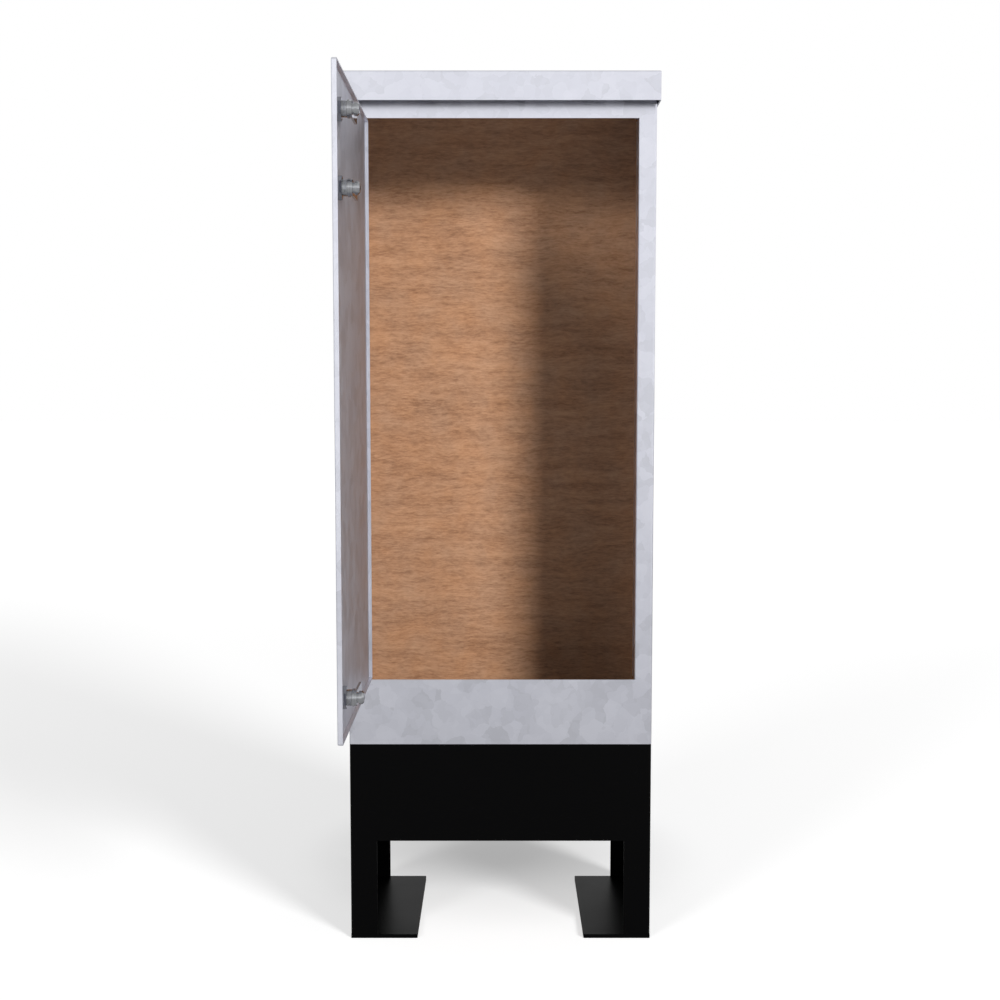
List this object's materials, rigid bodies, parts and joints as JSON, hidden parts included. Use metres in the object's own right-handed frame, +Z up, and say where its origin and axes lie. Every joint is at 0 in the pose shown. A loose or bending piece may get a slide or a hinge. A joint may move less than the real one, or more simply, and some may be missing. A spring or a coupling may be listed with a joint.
{
  "type": "feeder pillar",
  "caption": "Street feeder pillar: galvanised steel cabinet with a lockable side-hinged door, plywood backboard and canopy roof, on a black root frame with legs and foot plates.",
  "frame": {"origin": "on the ground, in the middle of the root's footprint", "axes": "+X to the right seen from the front, +Y to the back, +Z up"},
  "size_m": [0.456, 0.6506, 1.2739],
  "materials": {
    "galvanised": "hot-dip galvanised, fine spangle",
    "black_root": "black paint, satin",
    "plywood": "bare plywood, level grain",
    "bright_lock": "bright plated",
    "plated_steel": "zinc plated",
    "brass": "plain brass"
  },
  "bodies": {
    "cabinet": {"root_shell": "black_root", "left_foot_plate": "black_root", "right_foot_plate": "black_root", "base_angle_left": "galvanised", "base_angle_right": "galvanised", "root_angle_left": "black_root", "root_angle_right": "black_root", "root_bolts": "plated_steel", "root_washers": "plated_steel", "root_nuts": "plated_steel", "body_wrap": "galvanised", "back_panel": "galvanised", "roof_canopy": "galvanised", "roof_washers": "plated_steel", "roof_nuts": "plated_steel", "backboard": "plywood", "board_rail_top": "galvanised", "board_rail_bottom": "galvanised", "board_cleat": "galvanised", "board_screws": "plated_steel", "board_nuts": "plated_steel", "earth_stud": "brass", "earth_nuts": "brass", "earth_washer": "brass", "hinge_leaf_frame_upper": "plated_steel", "hinge_leaf_frame_lower": "plated_steel", "hinge_pin_upper": "plated_steel", "hinge_pin_lower": "plated_steel"},
    "door": {"door_panel": "galvanised", "hinge_leaf_door_upper": "plated_steel", "hinge_leaf_door_lower": "plated_steel", "lock_housing_top": "bright_lock", "lock_housing_middle": "bright_lock", "lock_housing_bottom": "bright_lock", "lock_nut_top": "bright_lock", "lock_nut_middle": "bright_lock", "lock_nut_bottom": "bright_lock"},
    "cam_top": {"lock_spindle_top": "bright_lock", "stop_washer_top": "bright_lock", "lock_cam_top": "bright_lock", "cam_screw_top": "bright_lock"},
    "cam_middle": {"lock_spindle_middle": "bright_lock", "stop_washer_middle": "bright_lock", "lock_cam_middle": "bright_lock", "cam_screw_middle": "bright_lock"},
    "cam_bottom": {"lock_spindle_bottom": "bright_lock", "stop_washer_bottom": "bright_lock", "lock_cam_bottom": "bright_lock", "cam_screw_bottom": "bright_lock"}
  },
  "joints": [
    {"name": "door_hinge", "type": "hinge", "parent": "cabinet", "child": "door", "pos_m": [-0.1998, -0.1293, 0.803], "axis": [0, 0, -1], "range_deg": [-90, 80]},
    {"name": "cam_turn_top", "type": "hinge", "parent": "door", "child": "cam_top", "pos_m": [-0.1955, -0.4806, 1.156], "axis": [1, 0, 0], "range_deg": [0, 180]},
    {"name": "cam_turn_middle", "type": "hinge", "parent": "door", "child": "cam_middle", "pos_m": [-0.1955, -0.4806, 1.064], "axis": [1, 0, 0], "range_deg": [0, 180]},
    {"name": "cam_turn_bottom", "type": "hinge", "parent": "door", "child": "cam_bottom", "pos_m": [-0.1955, -0.4806, 0.449], "axis": [1, 0, 0], "range_deg": [0, 180]}
  ]
}
